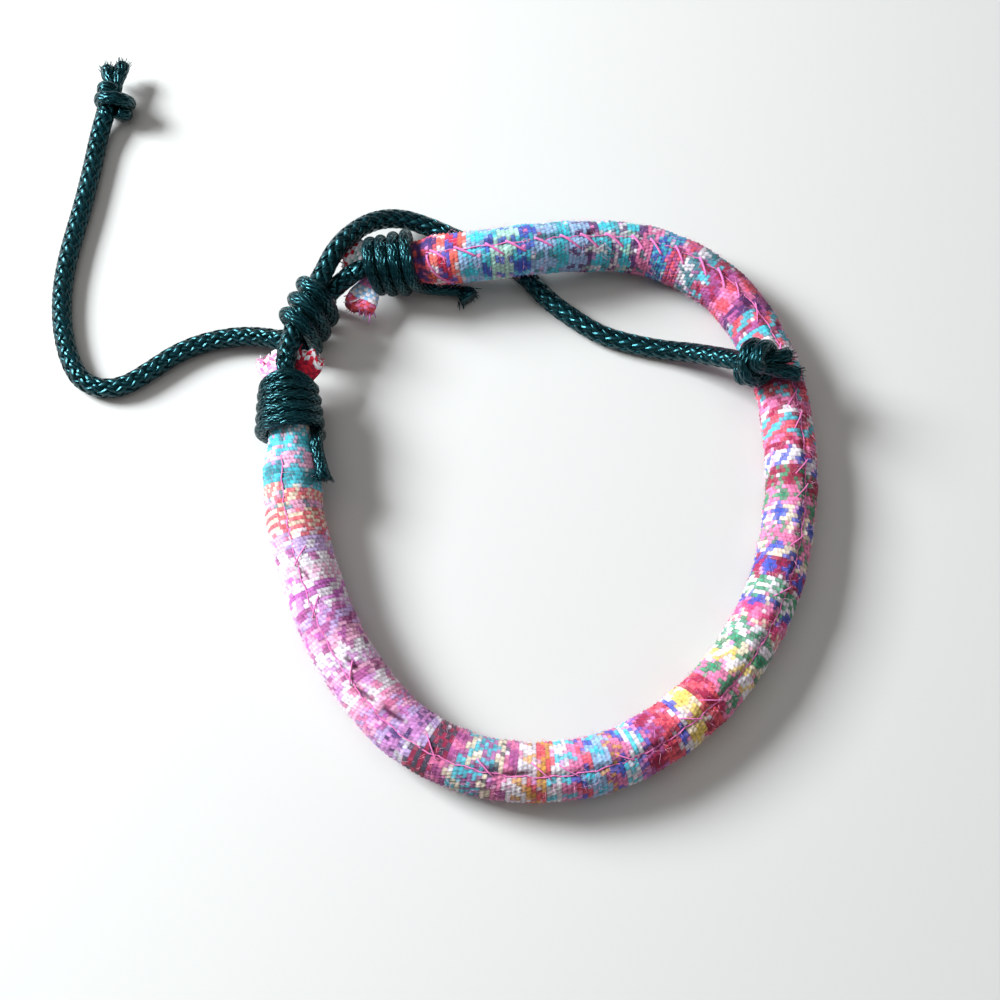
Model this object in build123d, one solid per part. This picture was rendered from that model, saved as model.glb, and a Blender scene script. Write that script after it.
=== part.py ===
from build123d import *
from math import cos, pi, radians, sin, tan
import os

# Friendship bracelet lying on a table. A padded tube of woven cloth is bent into an open loop. Each end of
# the tube is squeezed and bound with waxed cord, and the same cord goes on as a drawcord. Both drawcords
# pass through one sliding knot and end in a stopper knot.
# Millimetres, +Z up. The origin is the middle of the loop's footprint, on the table.

# Loop of the cloth tube, measured along its centreline
loop_width = 54.0  # left to right
loop_depth = 59.0  # near side to far side

# Cloth tube
sleeve_diameter = 5.8
shoulder_length = 1.6  # where the tube swells out of its binding
fan_width = 7.8  # flattened cloth beyond the binding
fan_thickness = 2.0
fan_length = 1.8
fan_waist = 0.4  # share of the fan's length where it has its waist width
fan_waist_width = 0.72  # share of the fan's width
shoulder_fullness = 0.75  # share of the shoulder's step that is left halfway along it

# Waxed cord
cord_diameter = 2.2
clearance = 0.04  # between pieces that lie against each other
channel_clearance = 0.06  # round a cord that is pressed into the cloth

# Bindings: the wound cord is pulled thin and lies turn against turn
wound_diameter = 1.56
wound_pitch = 1.6
left_turns = 5
far_turns = 4
neck_at_sleeve = 5.0  # diameter of the squeezed cloth next to the tube
neck_at_fan = 3.8  # and next to its cut end
left_tail_length = 4.6  # cut end of the binding cord beside the tube
far_tail_length = 6.4
tail_lean = 16.0  # degrees that a tail leans away from the tube
left_tail_swing = 28.0  # degrees that the left tail starts above the widest side of its binding
far_tail_drop = 30.0  # degrees that the far tail dips towards the table
tail_flare = 1.15  # a cut end is this much thicker than the wound cord
exit_length = 2.3  # stub of drawcord that leaves each binding
exit_swing = 14.0  # degrees that the outer cord's exit turns towards the near side
exit_depth = 0.7  # how far it starts inside the last turn
far_settle = 0.07  # the far binding slopes up to the tube, so its small end comes down
left_rise = 0.25  # the left binding slopes down to the tube, so its middle goes up

# Sliding knot: stadium turns round the two drawcords, one above the other
slide_strand_diameter = 1.6
slide_pitch = 1.75
slide_half_turns = 5
slide_yaw = 24.0  # degrees from the far direction, towards the right
slide_reach = 4.3  # from the knot's middle to where the inner cord bends
entry_reach = 3.4  # and to where the outer cord comes in
fold_reach = 3.4  # and to where the outer cord folds away below the knot
slide_roll = 12.0  # degrees that the upper cord lies to the left of the lower one
slide_gap = 0.2  # between the knot and the table
slide_spread = 0.2  # between the two drawcords inside the knot
slide_end = 0.6  # the last turn's end reaches this far past the drawcords

# Stopper knots
stopper_strand_diameter = 1.5
stopper_pitch = 1.45
stopper_half_turns = 3
stopper_core_length = 3.6
stopper_lean = 0.3  # the turns hang to one side of the core
stopper_bite = 0.2  # share of the strand's radius that the turns press into the core
stopper_tail = 0.4  # straight ends of the turns
tuft_length = 2.4  # cut end beyond the turns
tuft_root = 0.9  # its size and depth inside the core, as shares of the cord's radius
tuft_width = 2.9
tuft_thickness = 2.2
shoulder_angle = 42.0  # degrees from the top of the tube to where the inner stopper rests
stopper_skew = 32.0  # degrees that the inner stopper turns along the tube
stopper_tilt = 0.25  # its cut end falls this much for each millimetre outwards
stopper_gap = 0.15  # between the inner stopper and the tube
stopper_lead = 5.4  # straight cord that holds the inner stopper up

bridge_gap = 0.2  # between the tube and the cord that passes under it
arc_share = 0.45  # of the shorter run beside a corner
fold_radius = cord_diameter  # tightest bend, where the outer cord leaves the sliding knot
outer_folds = {2: fold_radius}  # by the number of the corner

sleeve_radius = sleeve_diameter / 2
cord_radius = cord_diameter / 2
wound_radius = wound_diameter / 2
slide_strand_radius = slide_strand_diameter / 2
stopper_strand_radius = stopper_strand_diameter / 2
up = Vector(0, 0, 1)

# Plan positions are shares of the loop's width and depth.
# The tube's corners run clockwise from the far binding to the left binding. The lift is a share of the
# height that the tube gains where the inner cord passes under it.
# Columns: x share, y share, lift
sleeve_route = [
    (-0.109, 0.463, 1.00),
    (-0.009, 0.476, 0.97),
    (0.102, 0.495, 0.55),
    (0.213, 0.500, 0.15),
    (0.324, 0.468, 0.00),
    (0.423, 0.387, 0.00),
    (0.488, 0.264, 0.00),
    (0.511, 0.119, 0.00),
    (0.503, -0.034, 0.00),
    (0.461, -0.181, 0.00),
    (0.383, -0.312, 0.00),
    (0.265, -0.424, 0.00),
    (0.113, -0.495, 0.00),
    (-0.057, -0.505, 0.00),
    (-0.217, -0.458, 0.00),
    (-0.339, -0.345, 0.00),
    (-0.419, -0.204, 0.00),
    (-0.471, -0.044, 0.15),
]
far_binding_place = (-0.294, 0.454)
left_binding_place = (-0.487, 0.154)
slide_place = (-0.459, 0.353)
# Corners of the sleeve's route that the inner stopper lies between, and how far along that run
stopper_between = (6, 7)
stopper_share = 0.20

# Drawcord routes between the sliding knot and the stoppers: x share, y share, lift in cord diameters
inner_route = [
    (-0.408, 0.468, 2.05),
    (-0.378, 0.512, 1.72),
    (-0.333, 0.552, 1.22),
    (-0.278, 0.569, 0.68),
    (-0.219, 0.560, 0.20),
    (-0.158, 0.536, 0.00),
    (-0.085, 0.502, 0.00),
    (-0.019, 0.463, 0.00),
    (0.030, 0.405, 0.00),
    (0.085, 0.364, 0.00),
    (0.141, 0.329, 0.00),
    (0.211, 0.310, 0.00),
    (0.277, 0.297, 0.06),
]
outer_route = [
    (-0.581, 0.327, 0.20),
    (-0.663, 0.320, 0.00),
    (-0.730, 0.295, 0.00),
    (-0.785, 0.256, 0.00),
    (-0.831, 0.226, 0.00),
    (-0.876, 0.218, 0.00),
    (-0.917, 0.231, 0.00),
    (-0.943, 0.259, 0.00),
    (-0.965, 0.308, 0.00),
    (-0.980, 0.369, 0.00),
    (-0.985, 0.439, 0.00),
    (-0.977, 0.519, 0.00),
    (-0.960, 0.610, 0.00),
    (-0.948, 0.703, 0.00),
    (-0.941, 0.769, 0.05),
]
outer_stopper_place = (-0.928, 0.815)
outer_stopper_height = 1.9
outer_tuft_way = (0.05, 1.0, -0.1)  # right, far and up: where its cut end points


def plan(x_share, y_share, height=0.0):
    """Point above the table from shares of the loop."""
    return Vector(x_share * loop_width, y_share * loop_depth, height)


def level_frame(direction):
    """Unit vectors along a direction, to its left and upwards across it."""
    along = direction.normalized()
    left = up.cross(along).normalized()
    return along, left, along.cross(left)


def corner_radii(points, folds):
    """Arc radius of each inner corner, as large as its two runs allow, unless a fold is tighter."""
    radii = []
    for number in range(1, len(points) - 1):
        run_in = points[number] - points[number - 1]
        run_out = points[number + 1] - points[number]
        half_turn = radians(run_in.get_angle(run_out) / 2)
        roomy = arc_share * min(run_in.length, run_out.length) / tan(half_turn)
        radii.append(min(roomy, folds.get(number, roomy)))
    return radii


def round_tube(name, points, radius, folds=None):
    """Solid tube along straight runs joined by tangent arcs."""
    radii = corner_radii(points, folds or {})
    path = FilletPolyline(*points, radius=radii)
    tube = sweep(Plane(origin=path @ 0, z_dir=path % 0) * Circle(radius), path=path)
    expected = pi * radius**2 * path.length
    print(f"{name}: length {path.length:.1f}, volume {tube.volume:.1f} of {expected:.1f}, radii",
          [round(value, 1) for value in radii])
    return tube


def rod(start, end, radius, end_radius=None):
    """Straight round piece between two points, tapered when it has an end radius."""
    length = (end - start).length
    place = Plane(origin=start, z_dir=end - start)
    base = (Align.CENTER, Align.CENTER, Align.MIN)
    if end_radius is None:
        return place * Cylinder(radius, length, align=base)
    return place * Cone(radius, end_radius, length, align=base)


def wound_cord(centre, axes, radii, pitch, half_turns, strand_radius, flat=0.0, tails=(0.0, 0.0)):
    """Cord wound round an axis in half circles, each tipped by a quarter pitch so that they flow together.

    axes are the axis, the side where the winding starts and the way that the first half turn bulges.
    radii are those of the first and the last turn. flat is a straight stretch between the half circles.
    """
    axis, side, bulge = axes
    nodes = []
    for number in range(half_turns + 1):
        share = number / half_turns
        reach = radii[0] + (radii[1] - radii[0]) * share
        turned = 1 if number % 2 == 0 else -1
        nodes.append(centre + axis * (half_turns * (share - 0.5) * pitch / 2) + side * (turned * reach))
    edges = []
    if tails[0] > 0:
        first = nodes[0] + bulge * (flat / 2)
        edges.append(Line(first - bulge * tails[0], first))
    for number in range(half_turns):
        way = bulge if number % 2 == 0 else bulge * -1
        start = nodes[number] + way * (flat / 2)
        end = nodes[number + 1] + way * (flat / 2)
        top = (start + end) * 0.5 + way * ((end - start).length / 2)
        edges.append(ThreePointArc(start, top, end))
        last = number == half_turns - 1
        drop = tails[1] if last else flat
        if drop > 0:
            edges.append(Line(end, end - way * drop))
    path = Wire(edges)
    return sweep(Plane(origin=path @ 0, z_dir=path % 0) * Circle(strand_radius), path=path)


def binding_sizes(turns):
    """Half length of a binding's winding and its radii at the sleeve and at the fan."""
    half_length = turns * wound_pitch / 2
    taper = (neck_at_sleeve - neck_at_fan) / 2 * wound_radius / (2 * half_length + wound_diameter)
    inner_radius = neck_at_sleeve / 2 - taper + clearance + wound_radius
    outer_radius = neck_at_fan / 2 + taper + clearance + wound_radius
    return half_length, inner_radius, outer_radius


def channel(points, radii):
    """Room that a cord needs in the cloth it is pressed into."""
    path = FilletPolyline(*points, radius=radii)
    return sweep(Plane(origin=path @ 0, z_dir=path % 0) * Circle(cord_radius + channel_clearance), path=path)


def cloth_end(centre, axes, turns, grooves):
    """Shoulder, squeezed neck and flattened fan of cloth at one end of the tube, grooved for the cords."""
    axis, side, _ = axes
    half_length, _, _ = binding_sizes(turns)
    reach = half_length + wound_radius
    foot = centre - axis * (reach + shoulder_length)
    base = Plane(origin=foot, x_dir=side, z_dir=axis)
    neck_start = shoulder_length
    neck_end = shoulder_length + 2 * reach
    sleeve_neck, fan_neck = neck_at_sleeve / 2, neck_at_fan / 2
    swell = sleeve_neck + (sleeve_radius - sleeve_neck) * shoulder_fullness
    profile = Curve() + [
        Line((0, 0), (sleeve_radius, 0)),
        ThreePointArc((sleeve_radius, 0), (swell, neck_start / 2), (sleeve_neck, neck_start)),
        Line((sleeve_neck, neck_start), (fan_neck, neck_end)),
        Line((fan_neck, neck_end), (0, neck_end)),
        Line((0, neck_end), (0, 0)),
    ]
    turning = Plane(origin=foot, x_dir=side, z_dir=side.cross(axis))
    body = revolve(turning * make_face(profile), axis=Axis(foot, axis))
    waist_half = (fan_neck + fan_thickness / 2) / 2
    sections = [
        base.offset(neck_end) * Circle(fan_neck),
        base.offset(neck_end + fan_length * fan_waist) * Ellipse(fan_width * fan_waist_width / 2, waist_half),
        base.offset(neck_end + fan_length) * Ellipse(fan_width / 2, fan_thickness / 2),
    ]
    cloth = body + loft(sections)
    for groove in grooves:
        cloth = cloth - groove
    return cloth


def binding(centre, axes, turns, tail_axis, tail_size, tail_swing, exit_start, exit_end):
    """Turns of cord round a neck, with the cut tail beside the tube and the stub of the drawcord."""
    axis, side, rise = axes
    swing = radians(tail_swing)
    half_length, inner_radius, outer_radius = binding_sizes(turns)
    turns_solid = wound_cord(centre, (axis, side, rise), (inner_radius, outer_radius),
                             wound_pitch, 2 * turns, wound_radius)
    tail_start = centre - axis * half_length + (side * cos(swing) + rise * sin(swing)) * inner_radius
    tail = rod(tail_start, tail_start + tail_axis * tail_size, wound_radius, wound_radius * tail_flare)
    stub = rod(exit_start, exit_end, cord_radius)
    return turns_solid + tail + stub


def stopper_knot(start, direction, lean, tuft_direction):
    """Stopper knot: a core, turns of cord round it that hang to one side, and a flared cut end."""
    along, left, rise = level_frame(direction)
    end = start + along * stopper_core_length
    core = rod(start, end, cord_radius)
    reach = cord_radius + stopper_strand_radius * (1 - stopper_bite)
    middle = (start + end) * 0.5 + lean
    turns = wound_cord(middle, (along, left, rise), (reach, reach), stopper_pitch,
                       stopper_half_turns, stopper_strand_radius, tails=(stopper_tail, stopper_tail))
    root_radius = cord_radius * tuft_root
    root = end - tuft_direction * root_radius
    tip = end + tuft_direction * tuft_length
    _, tuft_left, _ = level_frame(tuft_direction)
    near = Plane(origin=root, x_dir=tuft_left, z_dir=tuft_direction)
    far = Plane(origin=tip, x_dir=tuft_left, z_dir=tuft_direction)
    tuft = loft([near * Circle(root_radius), far * Ellipse(tuft_width / 2, tuft_thickness / 2)])
    return core + turns + tuft


# Heights. The cords lie on the table, and the tube does where nothing lifts it.
lying_cord = cord_radius
lying_sleeve = sleeve_radius
bridge = cord_diameter + bridge_gap  # lift of the tube over the inner cord
left_half, left_first_radius, left_last_radius = binding_sizes(left_turns)
far_half, far_first_radius, far_last_radius = binding_sizes(far_turns)
far_height = far_first_radius + wound_radius - far_settle
left_height = left_first_radius + wound_radius + left_rise

# Corners of the sleeve and the straight axes of its two bindings
sleeve_corners = [plan(x, y, lying_sleeve + bridge * lift) for x, y, lift in sleeve_route]
far_centre = plan(*far_binding_place, far_height)
left_centre = plan(*left_binding_place, left_height)
far_axes = level_frame(far_centre - sleeve_corners[0])
left_axes = level_frame(left_centre - sleeve_corners[-1])

# Sliding knot: the inner cord lies on the outer cord inside it
slide_direction = Vector(sin(radians(slide_yaw)), cos(radians(slide_yaw)), 0)
slide_axes = level_frame(slide_direction)
stack = cord_diameter + slide_spread
slide_radius = cord_radius + clearance + slide_strand_radius
slide_height = stack / 2 + slide_radius + slide_strand_radius + slide_gap
slide_centre = plan(*slide_place, slide_height)
stack_way = slide_axes[2] * cos(radians(slide_roll)) + slide_axes[1] * sin(radians(slide_roll))
slide_side = slide_direction.cross(stack_way) * -1
inner_line = slide_centre + stack_way * (stack / 2)
outer_line = slide_centre - stack_way * (stack / 2)

# Drawcord exits, on the last of the turns that show on top
last_turn = 0.75 * wound_pitch
outer_side = far_axes[2] * cos(radians(exit_swing)) + far_axes[1] * sin(radians(exit_swing))
inner_exit_start = left_centre + left_axes[0] * (left_half - last_turn) + left_axes[2] * left_last_radius
outer_exit_start = (far_centre + far_axes[0] * (far_half - last_turn)
                    + outer_side * (far_last_radius - exit_depth))
inner_bend = inner_line - slide_direction * slide_reach
outer_bend = outer_line + slide_direction * entry_reach
inner_exit = inner_exit_start + (inner_bend - inner_exit_start).normalized() * exit_length
outer_exit = outer_exit_start + (outer_bend - outer_exit_start).normalized() * exit_length

# Inner stopper: rests on the inner shoulder of the tube, its axis along the shoulder's slope
rest_start, rest_end = (sleeve_corners[number] for number in stopper_between)
rest_point = rest_start + (rest_end - rest_start) * stopper_share
tube_way = (rest_end - rest_start).normalized()
inward = up.cross(tube_way) * -1
outward_normal = inward * sin(radians(shoulder_angle)) + up * cos(radians(shoulder_angle))
slope = up * sin(radians(shoulder_angle)) - inward * cos(radians(shoulder_angle))
inner_knot_axis = slope * cos(radians(stopper_skew)) + tube_way * sin(radians(stopper_skew))
knot_radius = cord_radius + stopper_strand_diameter - stopper_strand_radius * stopper_bite
inner_knot_middle = rest_point + outward_normal * (sleeve_radius + knot_radius + stopper_gap)
inner_knot_start = inner_knot_middle - inner_knot_axis * (stopper_core_length / 2)

# Outer stopper: lies on the table
outer_knot_start = plan(*outer_stopper_place, outer_stopper_height)

# Cord routes
inner_points = [inner_exit, inner_bend, inner_line + slide_direction * slide_reach]
inner_points += [plan(x, y, lying_cord + lift * cord_diameter) for x, y, lift in inner_route]
inner_points += [inner_knot_start - inner_knot_axis * stopper_lead, inner_knot_start]
outer_points = [outer_exit, outer_bend, outer_line - slide_direction * fold_reach]
outer_points += [plan(x, y, lying_cord + lift * cord_diameter) for x, y, lift in outer_route]
outer_points += [outer_knot_start]

# Sleeve
far_shoulder = far_centre - far_axes[0] * (far_half + wound_radius + shoulder_length)
left_shoulder = left_centre - left_axes[0] * (left_half + wound_radius + shoulder_length)
tube = round_tube("woven_sleeve", [far_shoulder, *sleeve_corners, left_shoulder], sleeve_radius)
inner_radii = corner_radii(inner_points, {})
outer_radii = corner_radii(outer_points, outer_folds)
left_groove = channel([inner_exit_start, *inner_points[1:3]], inner_radii[:1])
far_groove = channel([outer_exit_start, *outer_points[1:3]], outer_radii[:1])
passing_groove = channel(inner_points[1:6], inner_radii[1:4])
far_end = cloth_end(far_centre, far_axes, far_turns, [far_groove, passing_groove])
left_end = cloth_end(left_centre, left_axes, left_turns, [left_groove])

left_side = left_axes[1] * -1
left_tail_axis = left_side * sin(radians(tail_lean)) - left_axes[0] * cos(radians(tail_lean))
far_tail_level = far_axes[1] * sin(radians(tail_lean)) - far_axes[0] * cos(radians(tail_lean))
far_tail_axis = far_tail_level * cos(radians(far_tail_drop)) - up * sin(radians(far_tail_drop))

nodes = {
    "woven_sleeve": tube + far_end + left_end,
    "left_whipping": binding(left_centre, (left_axes[0], left_side, left_axes[2]), left_turns,
                             left_tail_axis, left_tail_length, left_tail_swing, inner_exit_start, inner_exit),
    "far_whipping": binding(far_centre, far_axes, far_turns,
                            far_tail_axis, far_tail_length, 0, outer_exit_start, outer_exit),
    "inner_cord": round_tube("inner_cord", inner_points, cord_radius),
    "outer_cord": round_tube("outer_cord", outer_points, cord_radius, folds=outer_folds),
    "sliding_knot": wound_cord(slide_centre, (slide_direction * -1, slide_side, stack_way),
                               (slide_radius, slide_radius), slide_pitch, slide_half_turns,
                               slide_strand_radius, flat=stack, tails=(stack, stack + slide_end)),
    "inner_stopper_knot": stopper_knot(inner_knot_start, inner_knot_axis, outward_normal * 0,
                                       (inward * -1 - up * stopper_tilt).normalized()),
    "outer_stopper_knot": stopper_knot(outer_knot_start, outer_points[-1] - outer_points[-2],
                                       Vector(stopper_lean, 0, stopper_lean),
                                       Vector(*outer_tuft_way).normalized()),
}

os.makedirs("parts", exist_ok=True)
for name, solid in nodes.items():
    solid.label = name
    export_step(solid, f"parts/{name}.step")
    box = solid.bounding_box()
    print(name, "solids", len(solid.solids()), "valid", solid.is_valid,
          "volume", round(solid.volume, 1), "low", box.min, "high", box.max)
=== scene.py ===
"""Looks of a friendship bracelet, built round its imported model.

A padded tube of woven cloth lies in an open loop. Waxed braided cord binds its two ends, goes on as two
drawcords through a sliding knot, and ends in two stopper knots. Lengths are in millimetres until a mesh
or a light is made, and every object is in metres.
"""

import logging
import math
from collections.abc import Callable
from dataclasses import dataclass
from enum import Enum

import bmesh
import bpy
import numpy as np
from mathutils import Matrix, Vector

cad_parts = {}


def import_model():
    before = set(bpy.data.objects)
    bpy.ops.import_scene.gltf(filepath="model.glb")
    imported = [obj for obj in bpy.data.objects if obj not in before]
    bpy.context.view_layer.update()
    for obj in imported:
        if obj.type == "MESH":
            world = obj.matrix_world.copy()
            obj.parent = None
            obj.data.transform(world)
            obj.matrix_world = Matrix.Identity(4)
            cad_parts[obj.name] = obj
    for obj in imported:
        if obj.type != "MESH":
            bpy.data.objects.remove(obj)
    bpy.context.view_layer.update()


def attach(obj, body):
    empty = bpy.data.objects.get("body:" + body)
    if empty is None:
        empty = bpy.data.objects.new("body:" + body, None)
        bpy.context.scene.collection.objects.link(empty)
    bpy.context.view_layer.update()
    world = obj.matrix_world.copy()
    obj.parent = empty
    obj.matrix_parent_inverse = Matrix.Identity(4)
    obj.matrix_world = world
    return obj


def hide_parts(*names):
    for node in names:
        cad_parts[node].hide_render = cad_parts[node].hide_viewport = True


MM = 0.001
ROOT = "root"
# Colour attribute of the cloth pieces: yarn colours with painted shade mixed in.
YARN_AND_SHADE_LAYER = "yarn"
WELD_DISTANCE = 1e-8
POINTS_PER_TURN = 14
UP = np.array([0.0, 0.0, 1.0])

Array = np.ndarray
Material = bpy.types.Material
Mesh = bmesh.types.BMesh
Piece = bpy.types.Object
Socket = bpy.types.NodeSocket

LOG = logging.getLogger("bracelet")


class Tint(Enum):
    """Yarn colours as they look in daylight, red, green and blue."""

    WHITE = (240, 236, 244)
    CREAM = (240, 226, 196)
    PINK = (240, 128, 176)
    BLUSH = (246, 178, 210)
    HOT_PINK = (226, 62, 120)
    CORAL = (236, 84, 96)
    ORANGE = (244, 100, 70)
    RED = (214, 34, 60)
    CRIMSON = (160, 24, 62)
    LAVENDER = (196, 172, 226)
    LILAC = (216, 146, 214)
    MAUVE = (176, 84, 150)
    ORCHID = (196, 92, 186)
    PURPLE = (74, 40, 104)
    NAVY = (28, 38, 108)
    ROYAL = (36, 84, 190)
    AZURE = (30, 150, 220)
    SKY = (150, 196, 236)
    AQUA = (52, 196, 214)
    CYAN = (30, 206, 226)
    TEAL = (20, 136, 146)
    DARK_TEAL = (14, 66, 78)
    MINT = (170, 224, 204)
    GREY_MINT = (150, 184, 182)
    GREEN = (24, 150, 104)
    YELLOW = (240, 208, 96)
    OCHRE = (216, 158, 64)
    THREAD_PINK = (232, 112, 182)

    def linear(self) -> Array:
        """Give the colour as the shaders read it.

        Returns:
            Linear red, green and blue with an alpha of one.
        """
        # The usual curve from screen colours to linear light
        shares = np.array(self.value, float) / 255
        low = shares / 12.92
        high = ((shares + 0.055) / 1.055) ** 2.4
        return np.append(np.where(shares <= 0.04045, low, high), 1.0)


class Motif(Enum):
    """Small woven figures that fill a band, by the cells of the cloth."""

    CHECK = "check"
    PAIRS = "pairs"
    DOTS = "dots"
    BLOCKS = "blocks"
    SLANT = "slant"
    STEPS = "steps"
    SPECKLE = "speckle"

    def figure(self, row: Array, column: Array, rows: int) -> Array:
        """Tell which cells show the figure's colour.

        Args:
            row: Number of each cell's row in its band.
            column: Number of each cell's column round the tube.
            rows: How many rows the band has.

        Returns:
            An array of true and false, one for each cell.
        """
        # A scatter from nought to one that is the same on every run
        chance = np.mod(np.sin(column * 12.9898 + row * 78.233) * 43758.5453, 1.0)
        shapes = {
            Motif.CHECK: (column + row) % 2 == 0,
            Motif.PAIRS: (column // 2 + row) % 2 == 0,
            Motif.DOTS: (column % 5 < 2) & (row % 3 > 0),
            Motif.BLOCKS: np.abs(column % 6 - 3) + np.abs(row - (rows - 1) / 2) < 2.6,
            Motif.SLANT: (column + row) % 5 < 2,
            Motif.STEPS: (column // 2 + row) % 4 < 2,
            Motif.SPECKLE: chance < 0.30,
        }
        return shapes[self]


@dataclass(frozen=True)
class Band:
    """One coloured band round the cloth."""

    rows: int
    motif: Motif
    ground: Tint
    figure: Tint


@dataclass(frozen=True)
class YarnFamily:
    """Yarns that lie together in one stretch of the cloth, from a share of its length onwards."""

    start: float
    grounds: tuple
    figures: tuple


M, T = Motif, Tint

# Stretches of the cloth, clockwise from the far binding to the left binding
YARN_FAMILIES = (
    YarnFamily(0.00, (T.CORAL, T.WHITE, T.ORANGE, T.RED), (T.ROYAL, T.CORAL, T.NAVY, T.WHITE)),
    YarnFamily(0.08, (T.WHITE, T.MINT, T.SKY, T.AQUA), (T.ROYAL, T.CYAN, T.TEAL, T.PURPLE)),
    YarnFamily(0.20, (T.PINK, T.MAUVE, T.WHITE, T.AQUA), (T.TEAL, T.PURPLE, T.CRIMSON, T.CORAL)),
    YarnFamily(0.36, (T.PINK, T.WHITE, T.CRIMSON, T.CREAM), (T.HOT_PINK, T.ROYAL, T.GREEN, T.YELLOW)),
    YarnFamily(0.55, (T.CORAL, T.WHITE, T.PINK, T.MAUVE, T.SKY), (T.ROYAL, T.CYAN, T.OCHRE, T.CRIMSON)),
    YarnFamily(0.68, (T.CRIMSON, T.LILAC, T.CREAM, T.MAUVE), (T.DARK_TEAL, T.NAVY, T.PINK, T.AQUA)),
    YarnFamily(0.74, (T.LAVENDER, T.BLUSH, T.WHITE, T.LILAC), (T.MAUVE, T.PINK, T.WHITE, T.ORCHID)),
    YarnFamily(0.88, (T.WHITE, T.CREAM, T.AQUA, T.BLUSH), (T.AZURE, T.CYAN, T.TEAL, T.CORAL)),
)


@dataclass(frozen=True)
class ClothPattern:
    """Rule that lays the cloth's bands, drawn from the yarns of each stretch."""

    seed: int = 41
    fewest_rows: int = 2
    most_rows: int = 5
    overlap: float = 0.03
    motifs: tuple = (M.SPECKLE, M.BLOCKS, M.BLOCKS, M.STEPS, M.STEPS, M.PAIRS, M.DOTS, M.DOTS, M.CHECK, M.SLANT)
    fleck_share: float = 0.045
    flecks: tuple = (T.BLUSH, T.PINK, T.LILAC, T.WHITE)
    ragged_rows: int = 9

    def bands(self, rows: int) -> list[Band]:
        """Draw bands until they fill the cloth.

        Args:
            rows: How many rows the cloth has.

        Returns:
            The bands in order from the far binding.
        """
        draw = np.random.default_rng(self.seed)
        laid = []
        done = 0
        while done < rows:
            share = done / rows + draw.uniform(-self.overlap, self.overlap)
            family = [one for one in YARN_FAMILIES if one.start <= max(share, 0)][-1]
            last = laid[-1].ground if laid else None
            grounds = [tint for tint in family.grounds if tint != last]
            ground = grounds[int(draw.integers(len(grounds)))]
            figures = [tint for tint in family.figures if tint != ground]
            figure = figures[int(draw.integers(len(figures)))]
            motif = self.motifs[int(draw.integers(len(self.motifs)))]
            height = int(draw.integers(self.fewest_rows, self.most_rows + 1))
            laid.append(Band(height, motif, ground, figure))
            done += height
        return laid

    def colours(self, row: Array, column: Array, rows: int) -> Array:
        """Colour of each cell of the cloth.

        Args:
            row: Row of each cell, counted from the far binding.
            column: Column of each cell, counted outwards from the seam.
            rows: How many rows the cloth has.

        Returns:
            A linear colour with alpha for each cell.
        """
        draw = np.random.default_rng(self.seed + 1)
        row = np.clip(row, 0, rows - 1)
        slips = draw.choice([-1, 0, 0, 0, 0, 0, 1], (rows // self.ragged_rows + 1, int(column.max()) // 2 + 1))
        row = np.clip(row + slips[row // self.ragged_rows, column // 2], 0, rows - 1)
        laid = self.bands(rows)
        ends = np.cumsum([band.rows for band in laid])
        number = np.searchsorted(ends, row, side="right")
        colours = np.zeros((*row.shape, 4))
        for index, band in enumerate(laid):
            mine = number == index
            figure = band.motif.figure(row - (ends[index] - band.rows), column, band.rows)
            colours[mine & ~figure] = band.ground.linear()
            colours[mine & figure] = band.figure.linear()
        chance = draw.random((rows, int(column.max()) + 1))[row, column]
        for index, tint in enumerate(self.flecks):
            low = self.fleck_share * index / len(self.flecks)
            high = self.fleck_share * (index + 1) / len(self.flecks)
            colours[(chance >= low) & (chance < high)] = tint.linear()
        return colours


def unit(vector: Array) -> Array:
    """Vectors of length one along the last axis."""
    return vector / np.linalg.norm(vector, axis=-1, keepdims=True)


def smooth_step(share: Array) -> Array:
    """Ease from nought to one."""
    share = np.clip(share, 0, 1)
    return share * share * (3 - 2 * share)


def route_line(corners: list, step: float) -> Array:
    """Follow a route smoothly.

    Args:
        corners: The route's control points, in millimetres.
        step: Distance between the points that are returned.

    Returns:
        Evenly spaced points on the route's smooth line.
    """
    curve = bpy.data.curves.new("route", "CURVE")
    curve.dimensions = "3D"
    curve.resolution_u = 20
    spline = curve.splines.new("NURBS")
    spline.points.add(len(corners) - 1)
    for point, corner in zip(spline.points, corners):
        point.co = (*corner, 1.0)
    spline.order_u = 3
    spline.use_endpoint_u = True
    holder = bpy.data.objects.new("route", curve)
    mesh = bpy.data.meshes.new_from_object(holder)
    line = np.empty(len(mesh.vertices) * 3, np.float32)
    mesh.vertices.foreach_get("co", line)
    line = line.reshape(-1, 3).astype(float)
    bpy.data.objects.remove(holder)
    bpy.data.curves.remove(curve)
    bpy.data.meshes.remove(mesh)
    return evenly(line, step)


def lengths_along(line: Array) -> Array:
    """Distance of each point of a line from its start."""
    return np.append(0.0, np.cumsum(np.linalg.norm(np.diff(line, axis=0), axis=1)))


def evenly(line: Array, step: float) -> Array:
    """Space a line's points evenly.

    Args:
        line: Points of a line.
        step: Wanted distance between points.

    Returns:
        Points on the same line, with both of its ends.
    """
    along = lengths_along(line)
    count = max(3, int(round(along[-1] / step)) + 1)
    wanted = np.linspace(0, along[-1], count)
    return np.stack([np.interp(wanted, along, line[:, axis]) for axis in range(3)], axis=1)


def carried_frames(line: Array) -> tuple[Array, Array, Array]:
    """Carry a frame along a line without twisting it.

    Args:
        line: Points of a line.

    Returns:
        The tangents and the two directions across the line at each point.
    """
    tangents = unit(np.gradient(line, axis=0))
    start = np.cross(tangents[0], UP)
    if np.linalg.norm(start) < 0.1:
        start = np.cross(tangents[0], [1.0, 0.0, 0.0])
    across = [unit(start)]
    for tangent in tangents[1:]:
        moved = across[-1] - tangent * (across[-1] @ tangent)
        across.append(unit(moved))
    first = np.array(across)
    return tangents, first, np.cross(tangents, first)


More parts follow.
